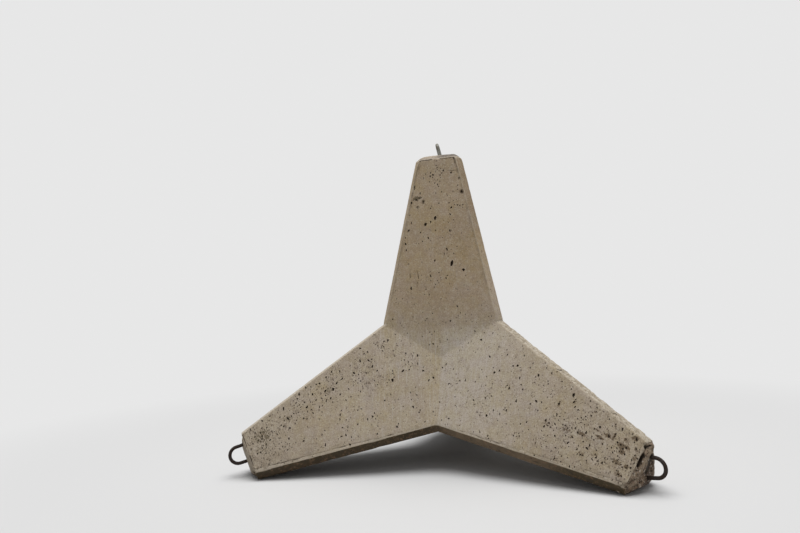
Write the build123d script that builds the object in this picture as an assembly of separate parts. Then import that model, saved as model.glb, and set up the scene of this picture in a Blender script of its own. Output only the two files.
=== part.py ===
from build123d import *
from collections import namedtuple
from math import acos, cos, degrees, radians, sqrt, tan
import os

# Star-shaped concrete barrier block: four equal tapered arms that point to the corners
# of a tetrahedron, cast as one piece, with a steel lifting loop in the end of each arm.
# It stands on the lower ends of three arms. Millimetres, +Z up, the floor at Z = 0,
# with the upright arm's axis on Z and one of the lower arms pointing along +Y.

# Concrete body
arm_reach = 1701.0        # from the point where the four axes meet to the flat end of an arm
end_inradius = 127.0      # from an arm's axis to each of its three broad faces, at its end
arm_taper = 7.2           # slope of the broad faces towards the axis, degrees
edge_strip = 75.0         # width of the strip that cuts off each long edge, the same all along
end_bevel = 36.0          # bevel around each flat end

# Lifting loops, bent from plain round bar and cast in
bar_diameter = 25.0
loop_width = 121.0        # between the centre lines of the two sides
loop_side = 37.5          # straight part of each side, from the concrete to the round crown
leg_depth = 550.0         # length of each leg in the concrete

# How use has left each loop, in its arm: tilt in its own plane towards the long edge that
# faces it, lean out of that plane, turn about the arm's axis, all in degrees, and shift of
# its middle from the arm's axis towards the same edge, in millimetres
Seat = namedtuple("Seat", "tilt lean turn shift")
seats = {
    "lifting_loop_top": Seat(tilt=0.0, lean=-12.0, turn=7.0, shift=0.0),
    "lifting_loop_left": Seat(tilt=6.0, lean=-1.0, turn=0.0, shift=55.0),
    "lifting_loop_right": Seat(tilt=27.0, lean=0.0, turn=0.0, shift=38.0),
    "lifting_loop_back": Seat(tilt=0.0, lean=0.0, turn=0.0, shift=45.0),
}


def make_arm():
    """The upright arm, from the meeting point of the axes to its bevelled flat end."""
    root_inradius = end_inradius + arm_reach * tan(radians(arm_taper))
    triangle = RegularPolygon(root_inradius, 3, major_radius=False, rotation=90)
    arm = extrude(triangle, arm_reach, taper=arm_taper)
    long_edges = arm.edges().filter_by(Plane.XY, reverse=True)
    # Two broad faces meet at just over 60 degrees, so a strip is a little wider than its chamfer
    half_corner_sine = sqrt(1 - 0.75 * cos(radians(arm_taper)) ** 2)
    arm = chamfer(long_edges, edge_strip / 2 / half_corner_sine)
    flat_end = arm.faces().sort_by(Axis.Z)[-1]
    return chamfer(flat_end.edges(), end_bevel)


def make_loop(seat):
    """A loop in the upright arm's end: legs straight in the concrete, bent over where they leave it."""
    bar_radius, half = bar_diameter / 2, loop_width / 2
    foot = half / cos(radians(seat.tilt))     # from the loop's middle to where a side leaves the concrete
    upwards = (Align.CENTER, Align.CENTER, Align.MIN)
    legs = [Pos(Y=y, Z=-leg_depth) * Cylinder(bar_radius, leg_depth, align=upwards) for y in (foot, -foot)]
    knuckles = [Pos(Y=y) * Sphere(bar_radius) for y in (foot, -foot)]
    starts = [(y, y * tan(radians(seat.tilt))) for y in (half, -half)]
    sides = [Pos(Y=y, Z=z) * Cylinder(bar_radius, loop_side - z, align=upwards) for y, z in starts]
    crown = Pos(Z=loop_side) * revolve(Pos(Y=half) * Circle(bar_radius), Axis.X, 180)
    bent_over = Rot(Y=seat.lean) * Rot(X=-seat.tilt)
    loop = Part() + [*legs, *knuckles, *(bent_over * piece for piece in [*sides, crown])]
    return Pos(Z=arm_reach) * Rot(Z=seat.turn) * Pos(Y=seat.shift) * loop


# The upright arm is where it was drawn. A lower arm is the same arm with one long edge
# turned up and its end tilted down to its own corner of the tetrahedron.
corner_angle = degrees(acos(-1 / 3))
to_back = Rot(X=-corner_angle) * Rot(Z=180)
arm_places = {
    "lifting_loop_top": Rot(),
    "lifting_loop_left": Rot(Z=120) * to_back,
    "lifting_loop_right": Rot(Z=240) * to_back,
    "lifting_loop_back": to_back,
}

arm = make_arm()
body = Part() + [place * arm for place in arm_places.values()]
to_floor = Pos(Z=-body.bounding_box().min.Z)

loops = {name: to_floor * place * make_loop(seats[name]) for name, place in arm_places.items()}
concrete_block = to_floor * body
for loop in loops.values():
    concrete_block -= loop

os.makedirs("parts", exist_ok=True)
export_step(concrete_block, "parts/concrete_block.step")
for name, loop in loops.items():
    export_step(loop, f"parts/{name}.step")
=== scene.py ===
import math
import random
from collections import namedtuple

import bpy
import numpy as np
from mathutils import Matrix, Vector, noise
from mathutils.geometry import delaunay_2d_cdt


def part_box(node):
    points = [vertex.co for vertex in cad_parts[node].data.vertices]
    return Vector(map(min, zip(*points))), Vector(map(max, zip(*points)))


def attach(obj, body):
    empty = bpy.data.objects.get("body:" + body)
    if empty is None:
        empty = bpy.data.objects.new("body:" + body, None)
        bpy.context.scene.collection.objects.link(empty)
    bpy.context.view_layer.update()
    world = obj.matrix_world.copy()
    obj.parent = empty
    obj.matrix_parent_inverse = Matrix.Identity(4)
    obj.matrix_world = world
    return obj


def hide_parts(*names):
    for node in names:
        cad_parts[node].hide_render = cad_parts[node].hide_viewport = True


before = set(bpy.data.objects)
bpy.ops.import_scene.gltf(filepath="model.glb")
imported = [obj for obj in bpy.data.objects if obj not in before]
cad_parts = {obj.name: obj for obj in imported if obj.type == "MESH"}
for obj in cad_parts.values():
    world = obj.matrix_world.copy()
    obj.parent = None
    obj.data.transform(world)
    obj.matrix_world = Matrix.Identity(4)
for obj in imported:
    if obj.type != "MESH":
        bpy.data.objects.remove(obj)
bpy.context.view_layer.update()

# Sizes of the block, in metres, the same as in its solids
ARM_REACH = 1.701
END_INRADIUS = 0.127
TAPER = math.radians(7.2)
STRIP_WIDTH = 0.075
END_BEVEL = 0.036
BAR_RADIUS = 0.0125
LOOP_HALF_WIDTH = 0.0605
LOOP_SIDE = 0.0375
LEG_DEPTH = 0.550

# Tilt, lean and turn in degrees, and shift in metres, of the loop in each arm's end
LOOP_SEATS = {
    "top": (0, -12, 7, 0),
    "left": (6, -1, 0, 0.055),
    "right": (27, 0, 0, 0.038),
    "back": (0, 0, 0, 0.045),
}

MEETING_POINT = Vector((0, 0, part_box("concrete_block")[1].z - ARM_REACH))

# The block as the upright arm, turned and tilted into each of the four places
TILT_DOWN = Matrix.Rotation(-math.acos(-1 / 3), 4, "X") @ Matrix.Rotation(math.pi, 4, "Z")
ARM_PLACES = {
    "top": Matrix.Identity(4),
    "left": Matrix.Rotation(math.radians(120), 4, "Z") @ TILT_DOWN,
    "right": Matrix.Rotation(math.radians(240), 4, "Z") @ TILT_DOWN,
    "back": TILT_DOWN,
}
ARM_TURNS = {arm: np.array(place.to_3x3()) for arm, place in ARM_PLACES.items()}
ARM_AXES = {arm: turn[:, 2] for arm, turn in ARM_TURNS.items()}

# The larger bug holes of the three faces at the front, in millimetres: how far along the arm
# from where the axes meet, how far to the side, and how wide
FRONT_HOLES = {
    "top": [
        (821, 102, 32), (766, 192, 23), (1180, -21, 25), (1138, -99, 24), (1155, -58, 14),
        (1362, -194, 25), (1375, 195, 18), (1557, 52, 15), (1549, -50, 13), (1524, 25, 12),
        (1075, 95, 17), (1100, -237, 17), (1256, 111, 15), (930, 68, 19), (850, -29, 14),
        (731, -65, 17), (709, 57, 13), (644, -222, 19), (588, -78, 10), (695, -12, 9), (1030, -79, 14),
        (1077, -140, 12), (1050, 184, 8), (384, 83, 15), (346, -352, 20), (303, 267, 12), (406, 373, 8),
        (455, -133, 8), (446, -55, 10), (442, 161, 10), (412, -373, 12), (1323, -114, 13),
        (1282, -160, 11), (1352, 82, 9), (1388, 36, 10), (1449, 4, 12), (1342, -170, 16),
        (1354, -146, 12), (1477, -60, 9), (1262, 98, 8), (696, -64, 10), (640, -224, 11), (1432, 12, 9),
        (1263, -56, 11), (1446, -184, 11), (1486, 176, 10), (1253, 107, 9), (1496, -23, 8),
    ],
    "left": [
        (509, 6, 19), (404, 310, 15), (410, 36, 16), (363, 23, 11), (275, -33, 14), (260, 93, 14),
        (930, 150, 19), (989, 165, 16), (887, 182, 15), (837, 194, 12), (1156, 116, 14),
        (1316, 188, 16), (1314, 103, 18), (1187, 33, 11), (832, 253, 13), (595, 175, 15),
        (722, 112, 11), (834, 36, 10), (1010, 91, 12), (624, -105, 11), (348, -341, 10),
        (1358, -39, 14), (1537, 50, 12), (1013, -200, 11), (1268, -104, 13), (918, 145, 14),
        (941, 133, 11), (1300, 96, 13), (1331, 90, 11), (1196, 41, 12), (962, 172, 10), (530, 20, 9),
        (488, 22, 9), (610, 190, 10), (580, 168, 9), (1004, 237, 12), (891, 180, 12), (1196, 240, 13),
        (941, 262, 12), (835, 246, 13), (826, 98, 12), (833, 37, 11), (958, -52, 12), (972, -81, 11),
        (1069, 29, 9), (1108, -8, 9), (1278, 42, 9), (1075, 134, 11), (737, 125, 13), (755, 39, 10),
        (876, 30, 10), (1589, 150, 10), (1568, 114, 11), (1528, 69, 12), (1522, 1, 11), (1485, 15, 12),
        (1424, 32, 10), (1557, -13, 10), (986, 150, 12), (948, 160, 13),
    ],
    "right": [
        (683, -209, 18), (852, -214, 17), (1127, -205, 21), (1152, -164, 12), (1071, -107, 16),
        (1093, -37, 16), (774, 102, 13), (583, -119, 13), (464, -175, 14), (389, -341, 11),
        (486, -269, 11), (575, -246, 12), (774, -272, 11), (776, -102, 12), (1090, -268, 11),
        (1445, -71, 17), (1465, -88, 15), (1553, -44, 14), (1268, 3, 13), (1251, 43, 13),
        (1313, -25, 15), (1046, 31, 14), (1057, 71, 14), (1345, 116, 13), (908, 134, 11),
        (1597, -135, 18), (1399, -170, 10), (1242, -218, 11), (257, -193, 11), (258, -298, 13),
        (900, -16, 12), (474, -7, 9), (409, 153, 8), (352, 80, 10), (388, 388, 10), (1530, -60, 13),
        (1520, -30, 11), (1575, -20, 12), (1545, 10, 10), (1040, 45, 11), (1075, 55, 10), (1300, 5, 11),
    ],
}

# Stained patches of small pits on the same faces, in millimetres: how far along and to the side,
# half length along the arm and half width across it, how many pits, and how brown
PITTED_PATCHES = {
    "top": [
        (1632, -5, 42, 14, 9, 0.35), (1350, -172, 18, 26, 3, 0.95), (1323, -114, 17, 15, 2, 0.9),
        (1376, 195, 17, 16, 2, 1.0), (1446, -184, 15, 11, 2, 0.85), (1486, 178, 15, 11, 2, 0.7),
        (1282, -160, 15, 12, 2, 0.7), (1354, -142, 14, 14, 1, 0.8), (1189, -5, 26, 16, 5, 0.4),
        (1145, -102, 20, 14, 3, 0.4), (1292, 93, 18, 10, 3, 0.3), (1470, 0, 40, 30, 9, 0.15),
        (1420, 160, 26, 16, 3, 0.3), (700, 20, 60, 50, 8, 0.2), (1560, 20, 50, 40, 9, 0.1),
    ],
    "left": [
        (965, 155, 44, 30, 22, 0.42), (940, 262, 12, 26, 6, 0.40), (1310, 102, 34, 24, 22, 0.50),
        (1195, 43, 24, 10, 8, 0.48), (1318, 182, 16, 18, 5, 0.50), (1525, 66, 76, 56, 30, 0.52),
        (1103, 123, 30, 20, 8, 0.15), (1382, -86, 60, 30, 14, 0.1), (1268, -106, 15, 15, 5, 0.35),
        (1560, -20, 60, 60, 14, 0.42), (835, 190, 34, 24, 10, 0.3), (1453, -2, 40, 40, 10, 0.3),
        (1585, 140, 30, 24, 10, 0.35), (1360, -40, 14, 12, 4, 0.35), (1010, 190, 40, 26, 12, 0.15),
        (720, 150, 50, 40, 10, 0.1), (1230, 150, 40, 30, 10, 0.15),
    ],
    "right": [
        (1533, -57, 23, 17, 12, 1.0), (1571, -62, 20, 13, 4, 0.9), (1546, -102, 15, 14, 6, 0.85),
        (1589, -136, 20, 15, 8, 0.95), (1556, -24, 19, 15, 8, 1.0), (1624, -80, 20, 15, 3, 0.6),
        (1441, -73, 26, 11, 8, 0.95), (1473, -86, 9, 26, 8, 0.95), (1398, -40, 34, 9, 11, 0.85),
        (1364, -73, 20, 7, 6, 0.8), (1434, -11, 12, 12, 5, 0.7), (1451, -155, 8, 16, 5, 0.7),
        (1305, -170, 14, 10, 4, 0.5), (1346, 110, 22, 18, 6, 0.55), (1418, 72, 26, 20, 9, 0.5),
        (1487, 92, 15, 12, 5, 0.5), (1557, 44, 28, 20, 12, 0.7), (1617, 41, 15, 13, 5, 0.95),
        (1597, 103, 24, 16, 9, 0.8), (1290, -4, 28, 12, 10, 0.75), (1244, 43, 16, 12, 6, 0.6),
        (1195, 18, 30, 26, 16, 0.55), (1062, 42, 30, 20, 11, 0.55), (1071, -105, 12, 24, 7, 0.7),
        (1155, -166, 12, 20, 5, 0.6), (917, 209, 25, 25, 8, 0.4), (714, -198, 18, 18, 2, 0.4),
        (593, 86, 26, 20, 5, 0.35), (768, 107, 22, 16, 5, 0.35), (1500, -5, 30, 40, 8, 0.35),
        (1250, -90, 20, 20, 4, 0.3), (1640, -20, 20, 50, 6, 0.5),
    ],
    "back": [(1420, 60, 60, 50, 12, 0.5), (1120, -140, 40, 40, 8, 0.35)],
}

# Grooves, slots, dents and swellings, in millimetres in their own arm: from one point to another,
# each as x, y and how far below the end, then width, depth and how dark the dirt and painted shade in it are.
# A swelling has a depth below zero.
MARKS = {
    "right": [
        ((-8, 104, 0), (-12, 14, 0), 58, 7, 1.0),
        ((-74, 126, 29), (-104, 64, 26), 46, 3, 0.5),
        ((-14, 180, 20), (30, 182, 20), 80, -7, 0.0),
        ((-122, 22, 33), (-131, 4, 33), 29, 7, 0.0),
        ((-62, 150, 36), (-66, 141, 36), 24, 5, 0.0),
        ((-74, 126, 29), (-106, 60, 26), 28, 24, 1.0),
        ((-42, 188, 32), (-54, 163, 31), 16, 12, 0.9),
        ((-40, 188, 32), (-16, 182, 22), 15, 9, 1.0),
        ((-54, 163, 31), (-72, 130, 29), 9, 4, 0.30),
        ((-40, 376, 762), (-6, 377, 740), 11, 9, 1.0),
        ((4, 378, 742), (24, 374, 712), 34, -5, 0.0),
        ((-30, 263, 312), (-2, 262, 290), 11, 7, 0.6),
        ((-22, -44, 0), (-66, -66, 0), 76, -11, 0.1),
        ((-60, 120, 0), (-84, 66, 0), 24, -5, 0.0),
        ((30, 60, 0), (50, 10, 0), 34, 9, 0.3),
        ((40, -40, 0), (10, -70, 0), 30, 7, 0.3),
    ],
    "left": [
        ((44, 189, 44), (92, 106, 44), 12, 6, 0.42),
        ((92, 106, 43), (128, 44, 43), 9, 3, 0.16),
        ((128, 44, 43), (165, -21, 43), 14, 8, 0.55),
    ],
    "top": [
        ((-148, -133, 46), (-40, -133, 45), 12, 4, 0.26),
        ((20, -133, 44), (110, -133, 44), 8, 4, 0.20),
        ((110, -133, 44), (142, -133, 44), 13, 5, 0.42),
        ((139, -134, 50), (151, -140, 100), 28, 4, 0.38),
        ((151, -140, 100), (168, -148, 170), 25, 4, 0.28),
        ((-138, -136, 58), (-152, -146, 150), 29, 3, 0.20),
        ((96, -145, 152), (150, -146, 152), 5, 2, 0.14),
        ((-149, -135, 60), (-208, -169, 330), 31, 1, 0.25),
        ((-208, -169, 330), (-385, -271, 1140), 31, 1, 0.19),
        ((176, -150, 185), (385, -271, 1140), 31, 1, 0.19),
        ((-169, -246, 930), (-161, -251, 982), 9, 2, 0.50),
        ((-228, -247, 945), (-226, -250, 975), 15, 2, 0.34),
        ((-171, -257, 1014), (-174, -260, 1042), 15, 2, 0.34),
    ],
    "back": [],
}


def smooth_step(low, high, value):
    """0 below low, 1 above high and a smooth rise between them."""
    t = min(max((value - low) / (high - low), 0.0), 1.0)
    return t * t * (3 - 2 * t)


def rough(point, size, layer):
    """Smooth random value from about -1 to 1 that changes over a length of size metres."""
    x, y, z = point
    return noise.noise(Vector((x / size + 17.3 * layer, y / size - 5.1 * layer, z / size + 9.7 * layer)))


def unit(vector):
    """The same direction with length 1."""
    return vector / np.linalg.norm(vector)


def in_arm(arm, point):
    """A place in an arm's own directions: x, y and how far below the arm's end."""
    x, y, along = point @ ARM_TURNS[arm]
    return x, y, ARM_REACH - along


# The flat faces of the block, each cut from a square sheet that reaches so many metres either way
SHEET_HALF = 4
SHEET_CORNERS = ((-1, -1), (1, -1), (1, 1), (-1, 1))


def across(axis, towards):
    """Unit direction at right angles to an arm's axis, towards another arm."""
    return unit(towards - (towards @ axis) * axis)


def arm_planes(arm):
    """An arm's outer planes: kind, other arm, outward normal and distance from where the axes meet."""
    axis = ARM_AXES[arm]
    broad_root = END_INRADIUS + ARM_REACH * math.tan(TAPER)
    strip_root = 2 * broad_root - math.sqrt(3) / 2 * STRIP_WIDTH
    strip_slope = math.atan(2 * math.tan(TAPER))
    planes = []
    for other in ARM_AXES:
        if other == arm:
            continue
        side = across(axis, ARM_AXES[other])
        long_planes = (("broad", -side, TAPER, broad_root), ("strip", side, strip_slope, strip_root))
        for kind, direction, slope, root in long_planes:
            normal = math.cos(slope) * direction + math.sin(slope) * axis
            planes.append((kind, other, normal, math.cos(slope) * root))
            end_distance = root - ARM_REACH * math.tan(slope)
            bevel_normal = unit(axis + normal)
            bevel_start = ARM_REACH * axis + (end_distance - END_BEVEL) * direction
            planes.append((kind + "_bevel", other, bevel_normal, bevel_start @ bevel_normal))
    planes.append(("end", None, axis, ARM_REACH))
    return planes


def clipped(polygon, normal, distance):
    """The part of a convex polygon that lies behind a plane."""
    heights = polygon @ normal - distance
    kept = []
    for i in range(len(polygon)):
        before, here = heights[i - 1], heights[i]
        if (before > 1e-9) != (here > 1e-9):
            share = before / (before - here)
            kept.append(polygon[i - 1] + (polygon[i] - polygon[i - 1]) * share)
        if here <= 1e-9:
            kept.append(polygon[i])
    return np.array(kept).reshape(-1, 3)


def plane_directions(normal):
    """Two directions in a plane: level, and down the slope. Level planes take any two."""
    level = np.cross((0, 0, 1.0), normal)
    if np.linalg.norm(level) < 1e-6:
        level = np.array((1.0, 0, 0))
    level = unit(level)
    return level, np.cross(level, normal)


class Face:
    """One flat face of the block: its outline, its own two directions and what it belongs to."""

    def __init__(self, arm, kind, other, normal, distance, outline, planes):
        self.arm, self.kind, self.other = arm, kind, other
        self.normal, self.planes, self.origin = normal, planes, normal * distance
        level, self.down = plane_directions(normal)
        # Both turned round, so that the outline runs anticlockwise as seen from outside
        self.level, self.outline = -level, outline[::-1]
        self.patches = patches_of(self)

    def flat(self, points):
        """One point or many in the face's own two directions."""
        offset = points - self.origin
        return np.stack((offset @ self.level, offset @ self.down), axis=-1)

    def solid(self, flat_point):
        across_it, down_it = flat_point
        return self.origin + across_it * self.level + down_it * self.down

    def at_the_end(self):
        return self.kind == "end" or "bevel" in self.kind

    def in_front(self):
        """True for the broad face of each arm that FRONT_HOLES and PITTED_PATCHES describe."""
        return self.kind == "broad" and self.other == ("left" if self.arm == "back" else "back")

    def has_seam(self):
        return self.in_front() and self.arm in ("left", "right")

    def sideways(self):
        """Unit direction on a broad face, across its arm."""
        axis = ARM_AXES[self.arm]
        return np.cross(axis, -across(axis, ARM_AXES[self.other]))

    def plane(self, kind, other):
        """Normal and distance of another face of the same arm."""
        return next(plane[2:] for plane in self.planes if plane[:2] == (kind, other))


def block_faces():
    """All faces that show, each cut to its outline by its arm's other planes and by the mitres."""
    faces = []
    for arm, axis in ARM_AXES.items():
        planes = arm_planes(arm)
        mitres = [(unit(other_axis - axis), 0.0) for other, other_axis in ARM_AXES.items() if other != arm]
        for index, (kind, other, normal, distance) in enumerate(planes):
            level, down = plane_directions(normal)
            middle = normal * distance
            sheet = [middle + SHEET_HALF * (a * level + b * down) for a, b in SHEET_CORNERS]
            outline = np.array(sheet)
            own_cuts = [plane[2:] for i, plane in enumerate(planes) if i != index]
            for cut_normal, cut_distance in own_cuts + mitres:
                outline = clipped(outline, cut_normal, cut_distance)
            faces.append(Face(arm, kind, other, normal, distance, outline, planes))
    return faces


class Outline:
    """The sides of a face in its own plane."""

    def __init__(self, corners):
        self.corners, self.starts = corners, np.roll(corners, 1, axis=0)
        sides = self.corners - self.starts
        along = sides / np.linalg.norm(sides, axis=1)[:, None]
        self.inwards = np.stack((-along[:, 1], along[:, 0]), axis=-1)

    def depth(self, point):
        """How far inside the outline a point lies."""
        return ((point - self.starts) * self.inwards).sum(-1).min()


# Pitted patches in metres, with the directions of their length and width
Patch = namedtuple("Patch", "middle half_length half_width along sideways pits brown")

# How far a stain reaches, as a share of its patch's half length and half width
STAIN_REACH = 1.7
# Patches at least so brown have close points of their own in the mesh
CLEAR_STAIN = 0.3
STAIN_SPACING = 0.0085


def on_face(face, along, side):
    """The point of a broad face at so many millimetres along its arm and to the side."""
    axis = ARM_AXES[face.arm]
    out = -across(axis, ARM_AXES[face.other])
    height = END_INRADIUS + (ARM_REACH - along / 1000) * math.tan(TAPER)
    return along / 1000 * axis + side / 1000 * np.cross(axis, out) + height * out


def patches_of(face):
    """The pitted patches of a face, none on most of them."""
    if not face.in_front():
        return []
    sideways = face.sideways()
    along_it = np.cross(face.normal, sideways)
    found = []
    for along, side, half_length, half_width, pits, brown in PITTED_PATCHES[face.arm]:
        sizes = (half_length / 1000, half_width / 1000)
        found.append(Patch(on_face(face, along, side), *sizes, along_it, sideways, pits, brown))
    return found


def patch_reach(patch, point):
    """How far a point lies from the middle of a patch, as a share of the patch's size."""
    offset = point - patch.middle
    return math.hypot(offset @ patch.along / patch.half_length, offset @ patch.sideways / patch.half_width)


def is_stained(patches, point):
    return any(patch_reach(patch, point) < STAIN_REACH for patch in patches)


def stain_at(face, point):
    """How brown the pitted patches make a place."""
    stain = 0.0
    for patch in face.patches:
        reach = patch_reach(patch, point)
        if reach < STAIN_REACH:
            stain = max(stain, patch.brown * (1 - smooth_step(0.5, STAIN_REACH, reach)))
    return stain


# Bug holes for each square metre: everywhere, and as many more in crowded patches, then both once more
# for the way to the arm's end, and where that way begins and is done, in metres along the arm
HOLES_IN_FRONT = {
    "right": (250, 480, 360, 850, 0.85, 1.60),
    "left": (190, 330, 1000, 0, 1.28, 1.55),
    "top": (110, 200, 0, 400, 1.15, 1.60),
}
HOLES_UNDERNEATH = (90, 200, 0, 0, 0.85, 1.60)
HOLES_ELSEWHERE = (170, 380, 0, 480, 0.85, 1.60)
# The upper band of the left arm's front face has these on top of that
HOLES_IN_THE_BAND = (280, 900)
HOLES_ON_AN_END = 600
MOST_HOLES = 2600

# A hole's rim: waves round it, as how many and how high, and corners by the hole's width
RIM_WAVES = ((2, 0.24), (3, 0.22), (5, 0.10))
RIM_CORNERS = ((0.009, 6), (0.013, 8), (math.inf, 14))
# Usual widths of the chance holes, the share of them that is large, and the limits of all
SMALL_HOLE, LARGE_HOLE, LARGE_SHARE = 0.0072, 0.0118, 0.14
LEAST_HOLE, WIDEST_HOLE = 0.0050, 0.0175
# Least distance from a rim to the face's edge, to another rim, and to the mesh's other points
RIM_TO_EDGE, RIM_TO_RIM, RIM_TO_POINT = 0.004, 0.0015, 0.0022


def crowding(face, point):
    """How many bug holes a place on the block has, for each square metre."""
    if face.kind == "end":
        return HOLES_ON_AN_END
    rates = HOLES_ELSEWHERE
    if face.in_front() and face.arm in HOLES_IN_FRONT:
        rates = HOLES_IN_FRONT[face.arm]
    elif face.normal[2] < -0.3:
        rates = HOLES_UNDERNEATH
    plain, patchy, far_plain, far_patchy, begin, done = rates
    along = point @ ARM_AXES[face.arm]
    patches = smooth_step(-0.15, 0.45, rough(point, 0.12, 3))
    rate = plain + patchy * patches + (far_plain + far_patchy * patches) * smooth_step(begin, done, along)
    if face.in_front() and face.arm == "left":
        band = smooth_step(-0.04, 0.10, point @ face.sideways()) * smooth_step(0.22, 0.4, along)
        rate += band * (HOLES_IN_THE_BAND[0] + HOLES_IN_THE_BAND[1] * patches)
    return rate * (0.5 if face.kind == "strip" else 1.0)


class Hole:
    """A bug hole's rim, drawn on its face, and its depth. Larger ones are bubbles that have run together."""

    def __init__(self, middle, width, depth, draw, stretch, angle):
        self.middle, self.depth = middle, depth
        count = next(corners for limit, corners in RIM_CORNERS if width < limit)
        waves = []
        for turns, share in RIM_WAVES:
            waves.append((turns, share * draw.uniform(0.3, 1.0), draw.uniform(0, math.tau)))
        bubbles = [(0.0, 0.0, 0.80)]
        for _ in range(2):
            distance, towards = draw.uniform(0.30, 0.62), draw.uniform(0, math.tau)
            size = draw.uniform(0.45, 0.68)
            bubbles.append((distance * math.cos(towards), distance * math.sin(towards), size))
        long_side = np.array((math.cos(angle), math.sin(angle)))
        short_side = np.array((-long_side[1], long_side[0]))
        self.rim = []
        for i in range(count):
            turn = math.tau * (i + draw.uniform(-0.2, 0.2)) / count
            wave = sum(size * math.cos(turns * turn + start) for turns, size, start in waves)
            radius = width / 2 * (1 + wave)
            if count > 8:
                radius *= 1.12 * max(reach_of_bubble(bubble, turn) for bubble in bubbles)
            offset = stretch * math.cos(turn) * long_side + math.sin(turn) / stretch * short_side
            self.rim.append(self.middle + radius * offset)
        self.reach = max(np.linalg.norm(p - self.middle) for p in self.rim)


def reach_of_bubble(bubble, turn):
    """How far a bubble reaches from the middle of its hole, in one direction."""
    x, y, radius = bubble
    forward = x * math.cos(turn) + y * math.sin(turn)
    inside = radius * radius - x * x - y * y + forward * forward
    return forward + math.sqrt(inside) if inside > 0 else 0.0


def holes_in(face, outline, draw):
    """The bug holes of one face: the larger ones at the front in their places, the rest by chance."""
    holes = []
    if "bevel" in face.kind:
        return holes

    def put(middle, width, depth, stretch, angle):
        """Adds a hole if the face's edge, the other holes and the marks leave it room."""
        hole = Hole(middle, width, depth, draw, stretch, angle)
        if outline.depth(middle) < hole.reach + RIM_TO_EDGE:
            return
        for near in holes:
            offset, room = near.middle - hole.middle, near.reach + hole.reach + RIM_TO_RIM
            if np.abs(offset).max() < room and np.linalg.norm(offset) < room:
                return
        marks = marks_near(face.arm, face.solid(middle))
        if not any(distance < hole.reach + 0.5 * mark_width for distance, mark_width in marks):
            holes.append(hole)

    if face.in_front():
        for along, side, width in FRONT_HOLES.get(face.arm, ()):
            middle = face.flat(on_face(face, along, side))
            size = width / 1000 * draw.uniform(0.98, 1.10) * (1.12 if face.arm == "left" else 1.0)
            put(middle, size, size * 0.5, draw.uniform(1.05, 1.45), draw.gauss(math.pi / 2, 0.35))
    for patch in face.patches:
        for _ in range(patch.pits):
            spot = patch.middle + draw.gauss(0, 0.55) * patch.half_length * patch.along
            spot = spot + draw.gauss(0, 0.55) * patch.half_width * patch.sideways
            width = draw.uniform(0.0072, 0.0110 + 0.0045 * patch.brown)
            put(face.flat(spot), width, width * 0.5, draw.uniform(1.0, 1.5), draw.uniform(0.9, 2.2))
    low, high = outline.corners.min(0), outline.corners.max(0)
    for _ in range(int(MOST_HOLES * np.prod(high - low))):
        middle = np.array([draw.uniform(*limits) for limits in zip(low, high)])
        chance, pick = draw.random(), draw.gauss(0, 1)
        angle, large = draw.gauss(math.pi / 2, 0.5), draw.random() < LARGE_SHARE
        if outline.depth(middle) < 0.006 or chance * MOST_HOLES > crowding(face, face.solid(middle)):
            continue
        width = (LARGE_HOLE if large else SMALL_HOLE) * math.exp(0.33 * pick)
        width = min(max(width, LEAST_HOLE), WIDEST_HOLE)
        put(middle, width, width * draw.uniform(0.35, 0.6), draw.uniform(1.0, 1.65), angle)
    return holes


# Rows of mesh points, as how far in from a face's sides, from a crease or from the seam
EDGE_ROWS = {"broad": (0.003, 0.008, 0.016, 0.028), "strip": (0.003, 0.008, 0.016)}
END_ROWS = (0.003, 0.008)
CREASE_ROWS = (0.010, 0.026)
SEAM_ROWS = (-0.0045, -0.0015, 0.0015, 0.0045)
# No other point is nearer to the seam, nor a row of the seam or of a mark nearer to the face's edge
POINT_TO_SEAM, SEAM_TO_EDGE, MARK_TO_EDGE = 0.0075, 0.012, 0.0022

# No mark is nearer than this to where the axes meet
MARKS_FROM = 0.55
# Narrower marks have rows of points of their own, and no other points or bug holes near them
NARROW_MARK = 0.03
Mark = namedtuple("Mark", "start end width depth dirt")


def mark_line(arm, start, end, width, depth, dirt):
    """A mark in metres, with its ends as they lie from where the axes meet."""
    ends = []
    for x, y, below in (start, end):
        ends.append(ARM_TURNS[arm] @ np.array((x, y, ARM_REACH * 1000 - below)) / 1000)
    return Mark(*ends, width / 1000, depth / 1000, dirt)


MARK_LINES = {arm: [mark_line(arm, *mark) for mark in marks] for arm, marks in MARKS.items()}


def to_mark(point, mark):
    """Distance from a point to the line between a mark's two ends."""
    line = mark.end - mark.start
    share = min(max((point - mark.start) @ line / (line @ line), 0.0), 1.0)
    return np.linalg.norm(point - mark.start - share * line)


def marks_near(arm, point):
    """Distance to, and width of, each narrow mark of an arm."""
    if point @ ARM_AXES[arm] < MARKS_FROM:
        return []
    return [(to_mark(point, mark), mark.width) for mark in MARK_LINES[arm] if mark.width < NARROW_MARK]


def side_samples(start, end, spacing):
    count = max(1, round(np.linalg.norm(end - start) / spacing))
    return [start + (end - start) * i / count for i in range(1, count)]


def side_spacing(arm, middle):
    """Distance between points along an edge: short where the edge is broken."""
    x, y, below = in_arm(arm, middle)
    if below < 0.1:
        return 0.0062 if arm == "right" else 0.010
    if arm == "right" and y > 0.15 and abs(x) < 0.045:
        return 0.0075
    return 0.0145


def grid_steps(face):
    """Spacings of a face's loose grid, each with the stretch of the arm that it covers."""
    broken = face.arm == "right"
    if face.kind == "broad":
        return ((0.040, 0.0, 1.42), (0.015 if broken else 0.024, 1.42, 2.0))
    if face.kind == "strip":
        return ((0.011 if broken and face.other == "top" else 0.021, 0.0, 2.0),)
    return ((0.0062 if broken else 0.0105, 0.0, 2.0),)


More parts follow.
